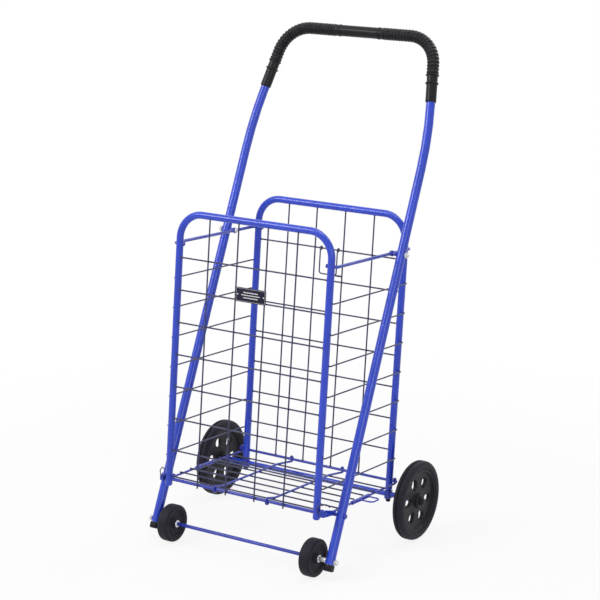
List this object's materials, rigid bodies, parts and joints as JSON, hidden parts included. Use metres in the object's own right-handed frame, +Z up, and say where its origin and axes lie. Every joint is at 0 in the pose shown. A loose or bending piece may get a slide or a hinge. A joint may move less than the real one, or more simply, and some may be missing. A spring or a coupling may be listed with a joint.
{
  "type": "folding wire basket cart",
  "caption": "Folding wire basket cart with a tall looped push handle, large rear wheels, small front wheels and a linkage that lets it fold flat.",
  "frame": {"origin": "on the floor, under the middle of the bounding box", "axes": "+X to the right seen from the front, +Y from the front wheels to the rear wheels, +Z up"},
  "size_m": [0.4576, 0.4368, 0.885],
  "materials": {
    "tube_enamel": "glossy blue enamel on steel tube",
    "wire_enamel": "dark enamel on steel wire",
    "rod_enamel": "blue enamel on steel rod",
    "grip_foam": "matte black ribbed grip",
    "tyre": "matte black solid rubber",
    "black_plastic": "moulded black plastic",
    "zinc": "bright zinc plating",
    "name_plate": "black enamelled plate"
  },
  "bodies": {
    "rear_frame": {"rear_hoop": "tube_enamel", "rear_mesh": "wire_enamel", "rear_lower_bar": "rod_enamel", "rear_axle": "tube_enamel", "axle_hanger_left": "tube_enamel", "axle_hanger_right": "tube_enamel", "hub_cap_left": "black_plastic", "hub_cap_right": "black_plastic"},
    "top_rods": {"top_rod_left": "rod_enamel", "top_rod_right": "rod_enamel"},
    "side_wires_1": {"side_wire_left_1": "wire_enamel", "side_wire_right_1": "wire_enamel"},
    "side_wires_2": {"side_wire_left_2": "wire_enamel", "side_wire_right_2": "wire_enamel"},
    "side_wires_3": {"side_wire_left_3": "wire_enamel", "side_wire_right_3": "wire_enamel"},
    "side_wires_4": {"side_wire_left_4": "wire_enamel", "side_wire_right_4": "wire_enamel"},
    "side_wires_5": {"side_wire_left_5": "wire_enamel", "side_wire_right_5": "wire_enamel"},
    "side_wires_6": {"side_wire_left_6": "wire_enamel", "side_wire_right_6": "wire_enamel"},
    "side_wires_7": {"side_wire_left_7": "wire_enamel", "side_wire_right_7": "wire_enamel"},
    "basket_floor": {"floor_grid": "rod_enamel", "floor_sleeve_left": "rod_enamel", "floor_sleeve_right": "rod_enamel"},
    "front_frame": {"front_hoop": "tube_enamel", "front_mesh": "wire_enamel", "front_cross_rod": "rod_enamel", "latch_plate_left": "tube_enamel", "latch_plate_right": "tube_enamel", "name_plate": "name_plate"},
    "handle": {"handle_tube": "tube_enamel", "grip_centre": "grip_foam", "grip_left": "grip_foam", "grip_right": "grip_foam", "front_axle": "rod_enamel", "pivot_bolt_left": "zinc", "pivot_bolt_right": "zinc", "pivot_nut_left": "zinc", "pivot_nut_right": "zinc", "pivot_spacer_left": "rod_enamel", "pivot_spacer_right": "rod_enamel", "latch_pin_left": "rod_enamel", "latch_pin_right": "rod_enamel", "end_cap_left": "black_plastic", "end_cap_right": "black_plastic", "wheel_washer_left": "zinc", "wheel_washer_right": "zinc", "axle_nut_left": "zinc", "axle_nut_right": "zinc"},
    "bail": {"safety_bail": "wire_enamel"},
    "rear_wheel_left": {"rear_tyre_left": "tyre", "rear_rim_left": "black_plastic"},
    "front_wheel_left": {"front_wheel_left": "tyre"},
    "rear_wheel_right": {"rear_tyre_right": "tyre", "rear_rim_right": "black_plastic"},
    "front_wheel_right": {"front_wheel_right": "tyre"}
  },
  "joints": [
    {"name": "fold", "type": "hinge", "parent": "rear_frame", "child": "top_rods", "pos_m": [0, 0.10673, 0.51631], "axis": [1, 0, 0], "range_deg": [-80, 0]},
    {"name": "front_frame_swing", "type": "hinge", "parent": "top_rods", "child": "front_frame", "pos_m": [0, -0.13768, 0.53503], "axis": [1, 0, 0], "range_deg": [0, 80]},
    {"name": "handle_swing", "type": "hinge", "parent": "top_rods", "child": "handle", "pos_m": [0, 0.04488, 0.52105], "axis": [1, 0, 0], "range_deg": [0, 94.5]},
    {"name": "side_wires_1_swing", "type": "hinge", "parent": "rear_frame", "child": "side_wires_1", "pos_m": [0, 0.09999, 0.45468], "axis": [1, 0, 0], "range_deg": [-80, 0]},
    {"name": "side_wires_2_swing", "type": "hinge", "parent": "rear_frame", "child": "side_wires_2", "pos_m": [0, 0.09422, 0.402], "axis": [1, 0, 0], "range_deg": [-80, 0]},
    {"name": "side_wires_3_swing", "type": "hinge", "parent": "rear_frame", "child": "side_wires_3", "pos_m": [0, 0.08845, 0.34931], "axis": [1, 0, 0], "range_deg": [-80, 0]},
    {"name": "side_wires_4_swing", "type": "hinge", "parent": "rear_frame", "child": "side_wires_4", "pos_m": [0, 0.08268, 0.29663], "axis": [1, 0, 0], "range_deg": [-80, 0]},
    {"name": "side_wires_5_swing", "type": "hinge", "parent": "rear_frame", "child": "side_wires_5", "pos_m": [0, 0.07691, 0.24394], "axis": [1, 0, 0], "range_deg": [-80, 0]},
    {"name": "side_wires_6_swing", "type": "hinge", "parent": "rear_frame", "child": "side_wires_6", "pos_m": [0, 0.07114, 0.19126], "axis": [1, 0, 0], "range_deg": [-80, 0]},
    {"name": "side_wires_7_swing", "type": "hinge", "parent": "rear_frame", "child": "side_wires_7", "pos_m": [0, 0.06537, 0.13857], "axis": [1, 0, 0], "range_deg": [-80, 0]},
    {"name": "floor_swing", "type": "hinge", "parent": "rear_frame", "child": "basket_floor", "pos_m": [0, 0.0608, 0.09682], "axis": [1, 0, 0], "range_deg": [-80, 0]},
    {"name": "bail_swing", "type": "hinge", "parent": "rear_frame", "child": "bail", "pos_m": [0, 0.10668, 0.49469], "axis": [1, 0, 0], "range_deg": [-40, 0]},
    {"name": "rear_wheel_left_spin", "type": "hinge", "parent": "rear_frame", "child": "rear_wheel_left", "pos_m": [-0.212, 0.05803, 0.07147], "axis": [1, 0, 0], "continuous": true},
    {"name": "front_wheel_left_spin", "type": "hinge", "parent": "handle", "child": "front_wheel_left", "pos_m": [-0.149, -0.18516, 0.03327], "axis": [1, 0, 0], "continuous": true},
    {"name": "rear_wheel_right_spin", "type": "hinge", "parent": "rear_frame", "child": "rear_wheel_right", "pos_m": [0.212, 0.05803, 0.07147], "axis": [1, 0, 0], "continuous": true},
    {"name": "front_wheel_right_spin", "type": "hinge", "parent": "handle", "child": "front_wheel_right", "pos_m": [0.149, -0.18516, 0.03327], "axis": [1, 0, 0], "continuous": true}
  ],
  "couplings": [
    {"joint": "front_frame_swing", "follows": "fold", "ratio": -1},
    {"joint": "handle_swing", "follows": "fold", "ratio": -1.18},
    {"joint": "side_wires_1_swing", "follows": "fold", "ratio": 1},
    {"joint": "side_wires_2_swing", "follows": "fold", "ratio": 1},
    {"joint": "side_wires_3_swing", "follows": "fold", "ratio": 1},
    {"joint": "side_wires_4_swing", "follows": "fold", "ratio": 1},
    {"joint": "side_wires_5_swing", "follows": "fold", "ratio": 1},
    {"joint": "side_wires_6_swing", "follows": "fold", "ratio": 1},
    {"joint": "side_wires_7_swing", "follows": "fold", "ratio": 1},
    {"joint": "floor_swing", "follows": "fold", "ratio": 1}
  ]
}
